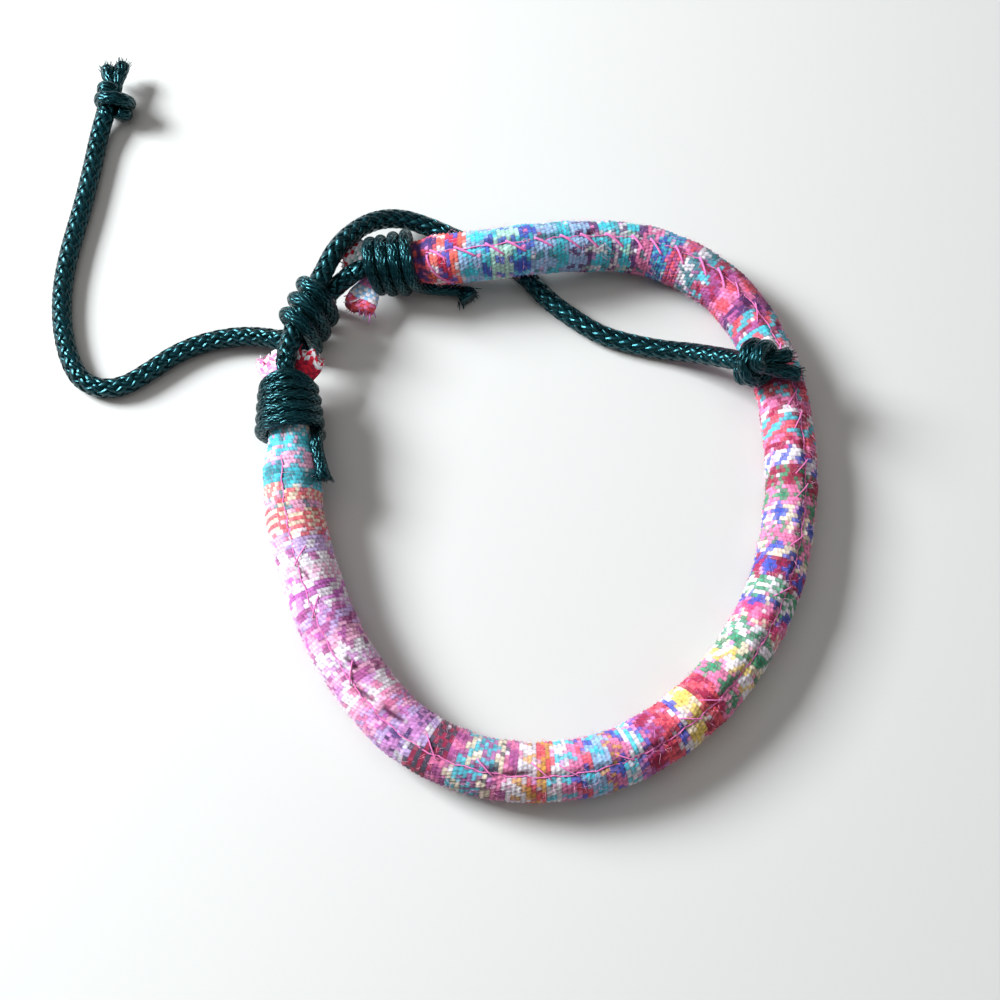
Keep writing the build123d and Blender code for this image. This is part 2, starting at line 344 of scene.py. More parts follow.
def upright_frames(line: Array) -> tuple[Array, Array]:
    """Stand a frame upright on each point of a lying line.

    Args:
        line: Points of a line.

    Returns:
        The directions upwards across the line and those towards its right.
    """
    tangents = unit(np.gradient(line, axis=0))
    upwards = unit(UP - tangents * (tangents @ UP)[:, None])
    return upwards, np.cross(tangents, upwards)


def level_frame(way: Array) -> tuple[Array, Array, Array]:
    """The direction of a way that isn't upright, the level one beside it and the one that rises."""
    side = unit(np.cross(UP, unit(way)))
    return unit(way), side, np.cross(unit(way), side)


def circle(sides: int) -> Array:
    """Angles of points spread evenly round a ring."""
    return np.linspace(0, 2 * np.pi, sides, endpoint=False)


def ring_round(line: Array, first: Array, second: Array, radii: Array, sides: int) -> Array:
    """Round rings along a line.

    Args:
        line: Centre of each ring.
        first: One direction across the line at each ring.
        second: The other direction across the line.
        radii: Radius of each ring.
        sides: Number of points on a ring.

    Returns:
        Points by ring and side.
    """
    turn = circle(sides)
    spokes = first[:, None] * np.cos(turn)[None, :, None] + second[:, None] * np.sin(turn)[None, :, None]
    return line[:, None] + spokes * radii[:, None, None]


def thread_round(line: Array, radii: float | Array, sides: int) -> Array:
    """Rings of a thread along a line, without a twist."""
    _, first, second = carried_frames(line)
    return ring_round(line, first, second, np.broadcast_to(radii, len(line)), sides)


def roll_grid(mesh: Mesh, rings: Array) -> dict:
    """Roll a new grid round rings of points.

    Args:
        mesh: Where the grid goes.
        rings: Points in millimetres, by ring and side.

    Returns:
        Ring and side of each new vertex. The last side lies on the first, to be welded to it.
    """
    count, sides = rings.shape[:2]
    made = bmesh.ops.create_grid(mesh, x_segments=count - 1, y_segments=sides, size=0.5)["verts"]
    spot = {}
    for vert in made:
        ring = round((vert.co.x + 0.5) * (count - 1))
        side = round((vert.co.y + 0.5) * sides)
        vert.co = rings[ring, side % sides] * MM
        spot[vert] = (ring, side)
    return spot


def paint_cells(mesh: Mesh, spot: dict, layer: object, tone: Callable) -> None:
    """Colour the corners of every face of a rolled grid.

    Args:
        mesh: The mesh, which holds nothing else yet.
        spot: Ring and side of each vertex.
        layer: The layer of yarn colours, with painted shade mixed in.
        tone: Gives the colour from a face's first ring and side and a corner's own.
    """
    for face in mesh.faces:
        cell = tuple(min(spot[vert][way] for vert in face.verts) for way in (0, 1))
        for corner in face.loops:
            corner[layer] = tone(cell, spot[corner.vert])


def finish_piece(mesh: Mesh, name: str, material: Material, node: str = "") -> Piece:
    """Weld and close a mesh and make a piece of it, which rides on the bracelet's one body.

    Args:
        mesh: The mesh, which is freed.
        name: Name of the new piece.
        material: Finish of the piece.
        node: Solid that it replaces, if it replaces one.

    Returns:
        The new piece.
    """
    bmesh.ops.remove_doubles(mesh, verts=mesh.verts, dist=WELD_DISTANCE)
    rims = [edge for edge in mesh.edges if edge.is_boundary]
    bmesh.ops.holes_fill(mesh, edges=rims, sides=0)
    bmesh.ops.recalc_face_normals(mesh, faces=mesh.faces)
    for face in mesh.faces:
        face.smooth = True
    data = bpy.data.meshes.new(name)
    mesh.to_mesh(data)
    mesh.free()
    data.materials.append(material)
    made = bpy.data.objects.new(name, data)
    bpy.context.scene.collection.objects.link(made)
    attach(made, ROOT)
    if node:
        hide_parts(node)
    return made


class Skein:
    """Gathers tubes into one mesh."""

    def __init__(self) -> None:
        """Start with no tubes."""
        self.mesh = bmesh.new()

    def add(self, tubes: Array) -> None:
        """Roll a grid round all tubes and cut them apart.

        Args:
            tubes: Points in millimetres, by tube, ring and side.
        """
        count, rings, sides = tubes.shape[:3]
        spot = roll_grid(self.mesh, tubes.reshape(count * rings, sides, 3))
        spare = []
        for face in {face for vert in spot for face in vert.link_faces}:
            numbers = {spot[vert][0] for vert in face.verts}
            if min(numbers) % rings == rings - 1 and max(numbers) % rings == 0:
                spare.append(face)
        if spare:
            bmesh.ops.delete(self.mesh, geom=spare, context="FACES")

    def finish(self, name: str, material: Material, node: str = "") -> Piece:
        """Make a piece of the tubes."""
        return finish_piece(self.mesh, name, material, node)


class Nodes:
    """Adds and links the nodes of one new material."""

    def __init__(self, name: str) -> None:
        """Make the material with a bare shader.

        Args:
            name: Name of the material.
        """
        self.material = bpy.data.materials.new(name)
        self.material.use_nodes = True
        self.tree = self.material.node_tree
        self.tree.nodes.clear()
        output = self.tree.nodes.new("ShaderNodeOutputMaterial")
        self.shader = self.tree.nodes.new("ShaderNodeBsdfPrincipled")
        self.link(self.shader.outputs[0], output.inputs[0])

    def add(self, kind: str, **values: object) -> bpy.types.Node:
        """Add a node.

        Args:
            kind: Kind of the node.
            **values: Its inputs and properties.

        Returns:
            The new node.
        """
        node = self.tree.nodes.new("ShaderNode" + kind)
        for name, value in values.items():
            label = name.replace("_", " ").title()
            if label in node.inputs:
                node.inputs[label].default_value = value
            else:
                setattr(node, name, value)
        return node

    def link(self, output: Socket, target: Socket) -> None:
        """Join two sockets."""
        self.tree.links.new(output, target)

    def feed(self, name: str, output: Socket) -> None:
        """Join a socket to one of the shader's inputs."""
        self.link(output, self.shader.inputs[name])

    def noise(self, scale: float, detail: float) -> Socket:
        """Make noise on the object's own coordinates.

        Args:
            scale: How fine it is.
            detail: How many finer layers it has.

        Returns:
            The noise's value.
        """
        place = self.add("TexCoord")
        noise = self.add("TexNoise", scale=scale, detail=detail)
        self.link(place.outputs["Object"], noise.inputs["Vector"])
        return noise.outputs[0]

    def ramp(self, source: Socket, stops: tuple) -> Socket:
        """Turn a value into a colour or another value.

        Args:
            source: The value.
            stops: Pairs of a place and its colour, or its value.

        Returns:
            The colour or value.
        """
        ramp = self.add("ValToRGB")
        elements = ramp.color_ramp.elements
        for element, (place, colour) in zip(elements, stops, strict=True):
            element.position = place
            element.color = colour if isinstance(colour, tuple) else (colour, colour, colour, 1)
        self.link(source, ramp.inputs[0])
        return ramp.outputs[0]

    def mixed(self, share: Socket | float, first: object, second: object, blend: str = "MIX") -> Socket:
        """Mix two colours.

        Args:
            share: Share of the second colour.
            first: A colour or a socket.
            second: A colour or a socket.
            blend: How they are mixed.

        Returns:
            The mixed colour.
        """
        mix = self.add("Mix", data_type="RGBA", blend_type=blend)
        for value, socket in ((share, mix.inputs[0]), (first, mix.inputs[6]), (second, mix.inputs[7])):
            if isinstance(value, Socket):
                self.link(value, socket)
            else:
                socket.default_value = value
        return mix.outputs[2]

    def bump(self, height: Socket, distance: float, strength: float) -> None:
        """Give the shader a fine bump.

        Args:
            height: The bump's height as a share of its distance.
            distance: Its distance in metres.
            strength: How strongly it tells.
        """
        bump = self.add("Bump", strength=strength, distance=distance)
        self.link(height, bump.inputs["Height"])
        self.feed("Normal", bump.outputs[0])

    def constants(self, values: dict) -> None:
        """Set the shader's own sockets by name."""
        for name, value in values.items():
            self.shader.inputs[name].default_value = value


@dataclass(frozen=True)
class WaxedCordFinish:
    """Near-black cotton cord under a film of wax that shines teal."""

    dark: tuple = (0.0005, 0.0014, 0.0018, 1)
    bright: tuple = (0.0006, 0.0085, 0.0125, 1)
    fleck: tuple = (0.02, 0.09, 0.10, 1)
    shine: tuple = (0.18, 0.86, 1.0, 1)
    haze: tuple = (0.2, 0.8, 0.9, 1)

    def make(self) -> Material:
        """Build the material.

        Returns:
            The material.
        """
        nodes = Nodes("waxed_cord_finish")
        body = nodes.ramp(nodes.noise(450, 3), ((0.35, self.dark), (0.62, self.bright)))
        flecks = nodes.ramp(nodes.noise(3800, 2), ((0.68, 0.0), (0.78, 0.35)))
        nodes.feed("Base Color", nodes.mixed(flecks, body, self.fleck))
        nodes.feed("Roughness", nodes.ramp(nodes.noise(1500, 2), ((0.35, 0.15), (0.65, 0.38))))
        nodes.bump(nodes.noise(9000, 3), 0.00003, 0.5)
        nodes.constants({"Specular Tint": self.shine, "Specular IOR Level": 0.62,
                         "Sheen Weight": 0.02, "Sheen Tint": self.haze})
        return nodes.material


@dataclass(frozen=True)
class ClothFinish:
    """Woven cotton that takes its colours from the piece's own attribute: yarn colours with painted shade mixed
    in.
    """

    roughness: float = 0.86
    sheen: float = 0.08

    def make(self) -> Material:
        """Build the material.

        Returns:
            The material.
        """
        nodes = Nodes("woven_cloth_finish")
        yarn = nodes.add("Attribute", attribute_name=YARN_AND_SHADE_LAYER)
        shade = nodes.ramp(nodes.noise(2600, 4), ((0.3, 0.64), (0.6, 1.0)))
        nodes.feed("Base Color", nodes.mixed(1.0, yarn.outputs["Color"], shade, "MULTIPLY"))
        nodes.bump(nodes.noise(7000, 3), 0.00008, 0.6)
        nodes.constants({"Roughness": self.roughness, "Sheen Weight": self.sheen,
                         "Sheen Roughness": 0.5, "Specular IOR Level": 0.25})
        return nodes.material


@dataclass(frozen=True)
class ThreadFinish:
    """Plain dyed thread or loose fibre."""

    name: str
    tint: Tint
    sheen: float = 0.3

    def make(self) -> Material:
        """Build the material.

        Returns:
            The material.
        """
        nodes = Nodes(self.name)
        base = self.tint.linear()
        stops = ((0.3, tuple(base * [0.7, 0.7, 0.7, 1])), (0.65, tuple(base)))
        nodes.feed("Base Color", nodes.ramp(nodes.noise(3000, 3), stops))
        nodes.bump(nodes.noise(9000, 2), 0.00005, 0.5)
        nodes.constants({"Roughness": 0.8, "Sheen Weight": self.sheen})
        return nodes.material


@dataclass(frozen=True)
class FloorFinish:
    """Plain pale floor."""

    colour: tuple = (0.53, 0.525, 0.51, 1)

    def make(self) -> Material:
        """Build the material.

        Returns:
            The material.
        """
        nodes = Nodes("pale_floor_finish")
        nodes.constants({"Base Color": self.colour, "Roughness": 0.7, "Specular IOR Level": 0.2})
        return nodes.material


@dataclass(frozen=True)
class Braid:
    """Round braid whose strands cross over and under each other."""

    diameter: float = 2.2
    strands_each_way: int = 6
    slant: float = 34.0
    thickness: float = 0.13
    fullness: float = 0.98
    step: float = 0.15
    sides: int = 5
    core_sides: int = 10

    def lay_on(self, skein: Skein, line: Array, sizes: float | Array = 1.0,
               fray: float = 0.0, seed: int = 1) -> None:
        """Braid strands round a line.

        Args:
            skein: Where the strands go.
            line: The line that the braid follows.
            sizes: Share of the diameter, for the whole line or for each of its points.
            fray: How far the strands' cut ends differ in length, in millimetres.
            seed: Seed of the cut ends' lengths.
        """
        sizes = np.broadcast_to(sizes, len(line))
        along = lengths_along(line)
        _, first, second = carried_frames(line)
        middle = self.diameter / 2 - self.thickness
        turning = math.tan(math.radians(self.slant)) / middle
        count = self.strands_each_way
        crossing = along * turning * count / np.pi
        half_width = np.pi * middle / count * math.cos(math.radians(self.slant)) * self.fullness
        section = circle(self.sides)
        width = (half_width * sizes)[:, None] * np.cos(section)[None, :]
        draw = np.random.default_rng(seed)
        tubes = []
        for way in (1, -1):
            reach = (middle + way * np.cos(np.pi * crossing) * self.thickness / 2) * sizes
            for number in range(count):
                angle = 2 * np.pi * number / count + way * turning * along
                outwards = first * np.cos(angle)[:, None] + second * np.sin(angle)[:, None]
                centre = line + outwards * reach[:, None]
                beside = unit(np.cross(unit(np.gradient(centre, axis=0)), outwards))
                lift = outwards[:, None] * (np.sin(section) * self.thickness / 2)[None, :, None]
                rings = centre[:, None] + lift + beside[:, None] * width[:, :, None]
                if fray:
                    cut = along[-1] - fray * draw.random()
                    kept = np.interp(np.minimum(along, cut), along, np.arange(len(along)))
                    rings = rings[np.floor(kept).astype(int)]
                tubes.append(rings)
        skein.add(np.array(tubes))
        core_radii = (middle - self.thickness / 2) * sizes
        skein.add(ring_round(line, first, second, core_radii, self.core_sides)[None])


def wound(diameter: float, step: float) -> Braid:
    """Fine braid of a cord that is wound tight."""
    return Braid(diameter, strands_each_way=9, slant=20, thickness=0.06, step=step)


@dataclass(frozen=True)
class Bristles:
    """Single fibres that stand out of a cord's cut end."""

    count: int = 30
    longest: float = 1.1
    shortest_share: float = 0.6
    depth: float = 0.5
    splay: float = 0.45
    radius: float = 0.07
    taper: float = 0.5
    clearance: float = 0.1

    def stand_on(self, skein: Skein, line: Array, reach: float, seed: int) -> None:
        """Plant the fibres.

        Args:
            skein: Where the fibres go.
            line: The line that ends at the cut.
            reach: Radius of the cord there, in millimetres.
            seed: Seed of the fibres' places and lengths.
        """
        draw = np.random.default_rng(seed)
        tangents, first, second = carried_frames(line)
        steps = np.linspace(0, 1, 4)
        fibres = []
        for _ in range(self.count):
            angle = draw.uniform(0, 2 * np.pi)
            spoke = first[-1] * math.cos(angle) + second[-1] * math.sin(angle)
            out = reach * math.sqrt(draw.random())
            root = line[-1] - tangents[-1] * self.depth + spoke * out
            length = draw.uniform(self.longest * self.shortest_share, self.longest)
            path = root + steps[:, None] * (tangents[-1] * length + spoke * out * self.splay)
            path[:, 2] = np.maximum(path[:, 2], self.clearance)
            fibres.append(thread_round(path, self.radius * (1 - self.taper * steps), 4))
        skein.add(np.array(fibres))


def winding(centre: Array, frame: tuple, turns: float, pitch: float, radius: float,
            first_angle: float, hidden: float, stack: float = 0.0) -> list[Array]:
    """Wind a few turns whose two ends dive towards the middle.

    Args:
        centre: Middle of the turns.
        frame: Directions along the turns, beside them and up.
        turns: How many turns there are.
        pitch: Distance from turn to turn.
        radius: Radius of the turns.
        first_angle: Where the first turn starts, in degrees.
        hidden: Share of the radius that the two ends keep.
        stack: How much taller than wide the turns are.

    Returns:
        The route's control points.
    """
    axis, side, rise = frame
    count = int(turns * POINTS_PER_TURN)
    points = []
    for number in range(-1, count + 2):
        share = number / count
        angle = math.radians(first_angle) + 2 * np.pi * turns * share
        reach = hidden if number in (-1, count + 1) else 1.0
        height = math.sin(angle) * radius + math.tanh(math.sin(angle) * 4) * stack / 2
        points.append(centre + axis * ((share - 0.5) * turns * pitch)
                      + (side * (math.cos(angle) * radius) + rise * height) * reach)
    return points


@dataclass(frozen=True)
class Seat:
    """Middle of a wound part, with the directions along it, beside it and up."""

    centre: tuple
    axis: tuple
    side: tuple
    rise: tuple

    def arrays(self) -> list[Array]:
        """The middle and the three directions."""
        return [np.array(value) for value in (self.centre, self.axis, self.side, self.rise)]


@dataclass(frozen=True)
class Bracelet:
    """Places that the sub-assemblies share, repeated from the model's source in millimetres."""

    far: Seat = Seat((-15.876, 26.786, 3.971), (-0.990, -0.053, -0.132),
                     (0.053, -0.999, 0.0), (-0.131, -0.007, 0.991))
    left: Seat = Seat((-26.298, 9.086, 4.301), (-0.073, 0.993, 0.089),
                      (-0.997, -0.074, 0.0), (0.007, -0.088, 0.996))
    slide: Seat = Seat((-24.786, 20.827, 4.140), (0.407, 0.914, 0.0),
                       (-0.894, 0.398, -0.208), (-0.190, 0.085, 0.978))
    inner_exit: tuple = (-26.597, 13.777, 6.509)
    outer_exit: tuple = (-19.971, 25.303, 4.695)
    inner_route: tuple = (
        (-26.763, 17.0, 5.314), (-23.265, 24.857, 5.314), (-22.032, 27.612, 5.61),
        (-20.412, 30.208, 4.884), (-17.982, 32.568, 3.784), (-15.012, 33.571, 2.596),
        (-11.826, 33.04, 1.54), (-8.532, 31.624, 1.1), (-4.59, 29.618, 1.1),
        (-1.026, 27.317, 1.1), (1.62, 23.895, 1.1), (4.59, 21.476, 1.1),
        (7.614, 19.411, 1.1), (11.394, 18.29, 1.1), (14.958, 17.523, 1.232),
        (17.92, 16.46, 2.902), (21.699, 14.117, 5.966),
    )
    outer_route: tuple = (
        (-23.175, 23.832, 2.966), (-25.941, 17.619, 2.966), (-31.374, 19.293, 1.54),
        (-35.802, 18.88, 1.1), (-39.42, 17.405, 1.1), (-42.39, 15.104, 1.1),
        (-44.874, 13.334, 1.1), (-47.304, 12.862, 1.1), (-49.518, 13.629, 1.1),
        (-50.922, 15.281, 1.1), (-52.11, 18.172, 1.1), (-52.92, 21.771, 1.1),
        (-53.19, 25.901, 1.1), (-52.758, 30.621, 1.1), (-51.84, 35.99, 1.1),
        (-51.192, 41.477, 1.1), (-50.814, 45.371, 1.21), (-50.112, 48.085, 1.9),
    )
    sleeve_route: tuple = (
        (-10.352, 27.08, 4.706), (-5.886, 27.317, 5.3), (-0.486, 28.084, 5.228),
        (5.508, 29.205, 4.22), (11.502, 29.5, 3.26), (17.496, 27.612, 2.9),
        (22.842, 22.833, 2.9), (26.352, 15.576, 2.9), (27.594, 7.021, 2.9),
        (27.162, -2.006, 2.9), (24.894, -10.679, 2.9), (20.682, -18.408, 2.9),
        (14.31, -25.016, 2.9), (6.102, -29.205, 2.9), (-3.078, -29.795, 2.9),
        (-11.718, -27.022, 2.9), (-18.306, -20.355, 2.9), (-22.626, -12.036, 2.9),
        (-25.434, -2.596, 3.26), (-25.829, 2.748, 3.736),
    )


@dataclass
class Drawcord:
    """One free drawcord, from its binding to its stopper knot."""

    name: str
    node: str
    exit: tuple
    route: tuple
    length: float
    braid: Braid = Braid()

    def build(self, material: Material, knots: list) -> Piece:
        """Args:
            material: Finish of the cord.
            knots: Pieces that lie on the cord; not used.

        Returns:
            The finished cord.
        """
        line = route_line([self.exit, *self.route], self.braid.step)
        skein = Skein()
        self.braid.lay_on(skein, line)
        made = skein.finish(self.name, material, self.node)
        [value * MM for value in self.exit]
        return made


@dataclass
class Whipping:
    """Cord wound round one squeezed end of the cloth tube, over the drawcord that dives under it."""

    name: str
    node: str
    seat: Seat
    lead: tuple
    end_angle: float
    start_reach: float
    arch: float
    pitch: float
    radii: tuple
    tail: tuple
    tail_flare: float
    seed: int
    start_angle: float = -150.0
    hidden_radius: float = 1.6
    emerge: float = 60.0
    ride_up: float = 0.35
    unevenness: float = 0.08
    climb: float = 0.7
    flare_length: float = 1.6
    lead_end_share: float = 0.7
    braid: Braid = wound(1.42, step=0.2)
    lead_braid: Braid = Braid()
    bristles: Bristles = Bristles(count=40, longest=0.75)

    def corners(self) -> list[Array]:
        """Wind the cord from its hidden start to its cut tail.

        Returns:
            The route's control points.
        """
        centre, axis, side, rise = self.seat.arrays()
        draw = np.random.default_rng(self.seed)
        sweep = self.end_angle - self.start_angle
        count = int(sweep / 360 * POINTS_PER_TURN)
        points = []
        for number in range(count + 1):
            angle = self.start_angle + sweep * number / count
            turned = math.radians(angle)
            share = max(angle, 0) / self.end_angle
            full = self.radii[0] + (self.radii[1] - self.radii[0]) * share ** self.climb
            full += self.unevenness * (draw.random() - 0.5)
            reach = self.start_reach - self.pitch * angle / 360
            if angle < 180:
                reach -= self.arch * math.sin(turned) ** 2 * (2 if angle < 0 else 1)
                full += self.ride_up * max(math.cos(turned), 0) ** 2
            shown = float(smooth_step((angle - self.start_angle) / self.emerge))
            radius = self.hidden_radius + (full - self.hidden_radius) * shown
            points.append(centre + axis * reach
                          + (rise * math.cos(turned) + side * math.sin(turned)) * radius)
        return [*points, *(np.array(point) for point in self.tail)]

    def build(self, material: Material) -> Piece:
        """Wind the cord and add it to the scene.

        Args:
            material: Finish of the cord.

        Returns:
            The finished binding.
        """
        skein = Skein()
        lead = route_line(list(self.lead), self.lead_braid.step)
        dive = smooth_step(np.linspace(0, 1, len(lead)))
        self.lead_braid.lay_on(skein, lead, 1 - (1 - self.lead_end_share) * dive)
        line = route_line(self.corners(), self.braid.step)
        along = lengths_along(line)
        cut = smooth_step((along - along[-1] + self.flare_length) / self.flare_length)
        self.braid.lay_on(skein, line, 1 + (self.tail_flare - 1) * cut, fray=0.5, seed=self.seed)
        self.bristles.stand_on(skein, line, self.braid.diameter / 2 * self.tail_flare, self.seed + 70)
        return skein.finish(self.name, material, self.node)


@dataclass
class SlidingKnot:
    """Turns of cord round the two drawcords, which lie one above the other."""

    seat: Seat
    radius: float = 1.75
    stack: float = 2.35
    pitch: float = 2.05
    turns: float = 3.0
    lag: float = 0.25
    shift: tuple = (0.295, -0.13, 0.0)
    braid: Braid = wound(1.66, step=0.18)

    def build(self, material: Material) -> Piece:
        """Wind the knot and add it to the scene.

        Args:
            material: Finish of the cord.

        Returns:
            The finished knot.
        """
        centre, axis, side, rise = self.seat.arrays()
        middle = centre + np.array(self.shift) - axis * self.lag
        points = winding(middle, (-axis, side, rise), self.turns, self.pitch, self.radius,
                         first_angle=-90, hidden=0.45, stack=self.stack)
        skein = Skein()
        self.braid.lay_on(skein, route_line(points, self.braid.step), fray=0.3, seed=4)
        return skein.finish("sliding_knot_cord", material, "sliding_knot")


@dataclass
class StopperKnot:
    """Knot at a drawcord's end: a core, turns that hang to one side, and a frayed cut end."""

    name: str
    node: str
    start: tuple
    axis: tuple
    tuft_way: tuple
    lean: tuple
    prong_length: float
    prong_spread: float
    radius: float
    core_length: float = 3.6
    turns: float = 1.8
    pitch: float = 1.5
    first_angle: float = 200.0
    prong_sizes: tuple = (0.85, 1.0)
    core: Braid = Braid()
    wrap: Braid = wound(1.62, step=0.16)
    prong: Braid = Braid(1.5, strands_each_way=8, slant=16, thickness=0.07, step=0.15)
    bristles: Bristles = Bristles()

    def build(self, material: Material) -> Piece:
        """Tie the knot and add it to the scene.

        Args:
            material: Finish of the cord.

        Returns:
            The finished knot.
        """
        frame = level_frame(np.array(self.axis))
        start = np.array(self.start)
        end = start + frame[0] * self.core_length
        skein = Skein()
        self.core.lay_on(skein, evenly(np.array([start - frame[0] * 0.4, end]), self.core.step))
        points = winding((start + end) / 2 + np.array(self.lean), frame, self.turns, self.pitch,
                         self.radius, self.first_angle, hidden=0.4)
        self.wrap.lay_on(skein, route_line(points, self.wrap.step), fray=0.2, seed=5)
        self.add_tuft(skein, end)
        return skein.finish(self.name, material, self.node)

    def add_tuft(self, skein: Skein, end: Array) -> None:
        """Split the cut end into two prongs with loose fibres.

        Args:
            skein: Where the prongs go.
            end: Where the knot's core ends.
        """
        tuft, beside, _ = level_frame(np.array(self.tuft_way))
        for number, way in enumerate((1, -1)):
            length = self.prong_length * self.prong_sizes[number]
            root = end - tuft * 0.5 + beside * (0.25 * way)
            tip = end + tuft * length + beside * (self.prong_spread * way * 1.3)
            bow = (root + tip) / 2 + beside * (0.1 * way) + UP * 0.15
            line = route_line([root, bow, tip], self.prong.step)
            sizes = 0.85 + 0.3 * smooth_step(lengths_along(line) / length)
            self.prong.lay_on(skein, line, sizes, fray=0.5, seed=6 + number)
            self.bristles.stand_on(skein, line, self.prong.diameter / 2, 60 + number)


@dataclass
class WovenSleeve:
    """Padded tube of woven cloth, with its seam, its stitches and its fuzz."""

    route: tuple
    far_axis: tuple
    left_axis: tuple
    pattern: ClothPattern = ClothPattern()
    columns: int = 40
    cell: float = 0.46
    faces_per_cell: int = 2
    neck_length: float = 6.2
    neck_radius: float = 2.4
    throat_radius: float = 1.6
    shoulder: float = 1.6
    model_radius: float = 2.9
    relief: float = 0.20
    sunk_share: float = 0.4
    flank: float = 0.45
    lump: float = 0.08
    grain: float = 0.030
    clearance: float = 0.02
    seam_depth: float = 0.26
    seam_half_width: float = 0.42
    seam_jump: float = 3.0
    # Between the cells each yarn is mixed towards a dark pinkish tint: partly the colour that shows there,
    # partly painted shade.
    gap_tint_and_shade: tuple = (0.36, 0.10, 0.24)
    gap_share: float = 0.26
    bleed: float = 0.09
    unevenness: float = 0.13
    # Painted shade on the cloth: cells darker at their edges and lighter on their crowns, and darker along the
    # seam's groove.
    edge_shade: float = 0.66
    crown_shade: float = 0.46
    seam_shade: float = 0.25
    # The needle slits are sunk into the cloth and painted near black: painted shade in the openings.
    slit_depth: float = 0.3
    slit_shade: tuple = (0.09, 0.010, 0.05)
    stitch_spacing: float = 2.7
    shown_stitches: float = 0.24
    skipped_stitches: float = 0.55
    pulled_thread: float = 0.13
    fine_thread: float = 0.07
    thread_sides: int = 8
    fibres: int = 5200
    fibre_radius: float = 0.015
    # Columns: share of the length, radius of the tube, degrees of the seam outwards from the top
    profile: tuple = (
        (0.00, 2.72, -8), (0.08, 2.72, -6), (0.20, 2.72, 0), (0.30, 2.66, 20), (0.42, 2.66, 30),
        (0.52, 2.76, 28), (0.65, 2.90, 20), (0.80, 2.94, 20), (0.90, 2.96, 18), (1.00, 2.96, 14),
    )
    # Columns: share of the length, degrees from the seam, length and width of a needle slit
    slits: tuple = (
        (0.700, -6, 2.6, 0.5), (0.790, -22, 3.0, 0.7), (0.812, -8, 2.2, 0.5), (0.835, -24, 2.0, 0.6),
        (0.905, -12, 1.6, 0.5), (0.255, -14, 1.2, 0.4), (0.120, 10, 1.0, 0.35),
    )

    def __post_init__(self) -> None:
        """Lay out the tube's line, directions, radii and seam, and its cells."""
        far, left = np.array(self.far_axis), np.array(self.left_axis)
        corners = [np.array(point) for point in self.route]
        head = corners[0] + far * (self.shoulder + self.neck_length)
        foot = corners[-1] + left * (self.shoulder + self.neck_length)
        rough = route_line([head, *corners, foot], 0.2)
        total = lengths_along(rough)[-1]
        self.cloth_length = total - 2 * self.neck_length
        self.rows = round(self.cloth_length / self.cell)
        self.row_length = self.cloth_length / self.rows
        self.line = evenly(rough, self.row_length / self.faces_per_cell)
        self.along = lengths_along(self.line) - self.neck_length
        shares, radii, degrees = np.array(self.profile).T
        share = self.along / self.cloth_length
        full = np.interp(share, shares, radii)
        self.seam = np.radians(np.interp(share, shares, degrees))
        from_end = np.minimum(self.along, self.cloth_length - self.along)
        swell = np.clip(from_end / self.shoulder, 0, 1) ** 0.6
        depth = np.clip(-from_end / self.neck_length, 0, 1)
        neck = self.neck_radius + (self.throat_radius - self.neck_radius) * depth
        self.radii = neck + (full - neck) * swell
        self.line[:, 2] += full - self.model_radius
        self.upwards, self.inwards = upright_frames(self.line)
        self.turn = circle(self.columns * self.faces_per_cell)
        step = np.arange(len(self.line))[:, None] + np.zeros((1, len(self.turn)), int)
        self.row = step // self.faces_per_cell
        side_step = np.arange(len(self.turn))[None, :] + self.row % 2
        self.column = side_step // self.faces_per_cell % self.columns
        ahead, aside = step % self.faces_per_cell, side_step % self.faces_per_cell
        self.bulge = np.minimum(ahead * aside + self.flank * (ahead + aside) * (1 - ahead * aside), 1.0)

    def at(self, along: float | Array, turn: Array, proud: float | Array = 0.0) -> Array:
        """Find points on the tube's surface.

        Args:
            along: Distance from the far binding.
            turn: Angle outwards from the seam, in radians.
            proud: Height above the surface.

        Returns:
            Points, one for each distance and angle.
        """
        def read(values: Array) -> Array:
            """Values at the distances."""
            return np.interp(along, self.along, values)

        centre, upwards, inwards = (np.stack([read(values[:, axis]) for axis in range(3)], axis=-1)
                                    for values in (self.line, self.upwards, self.inwards))
        angle = read(self.seam) + turn
        reach = read(self.radii) + proud
        spokes = upwards * np.cos(angle)[..., None] - inwards * np.sin(angle)[..., None]
        return centre + spokes * reach[..., None]

    def scatter(self, draw: np.random.Generator, middle: float, spread: float) -> Array:
        """Draw one uneven value for each cell, by ring and side."""
        return draw.normal(middle, spread, (int(self.row.max()) + 1, self.columns))[self.row, self.column]

    def cut_slits(self) -> Array:
        """Find the needle slits.

        Returns:
            How deep each point lies in a slit, from nought to one.
        """
        turn, radii, along = self.turn, self.radii[:, None], self.along[:, None]
        signed = np.where(turn > np.pi, turn - 2 * np.pi, turn)[None, :] * radii
        dark = np.zeros(signed.shape)
        for share, degrees, length, width in self.slits:
            ahead = (along - share * self.cloth_length) / (length / 2)
            aside = (signed - math.radians(degrees) * radii - ahead * 0.25) / (width / 2)
            dark = np.maximum(dark, np.exp(-(ahead ** 4) - aside ** 2))
        return dark

    def dye(self, draw: np.random.Generator) -> Array:
        """Colour the cells, with a little of each colour in its neighbours.

        Args:
            draw: Source of the yarns' unevenness.

        Returns:
            Red, green and blue by ring and side.
        """
        skew = np.floor(self.seam_jump * self.turn[None, :] / (2 * np.pi)).astype(int)
        rows = int(self.row.max()) + int(self.seam_jump) + 1
        cells = self.pattern.colours(self.row + skew, self.column, rows)[:, :, :3]
        for axis, bleed in ((0, self.bleed), (1, 2 * self.bleed)):
            beside = sum(np.roll(cells, shift, axis) for shift in (self.faces_per_cell, -self.faces_per_cell))
            cells = cells * (1 - bleed) + beside * (bleed / 2)
        return cells * self.scatter(draw, 1.0, self.unevenness)[:, :, None]

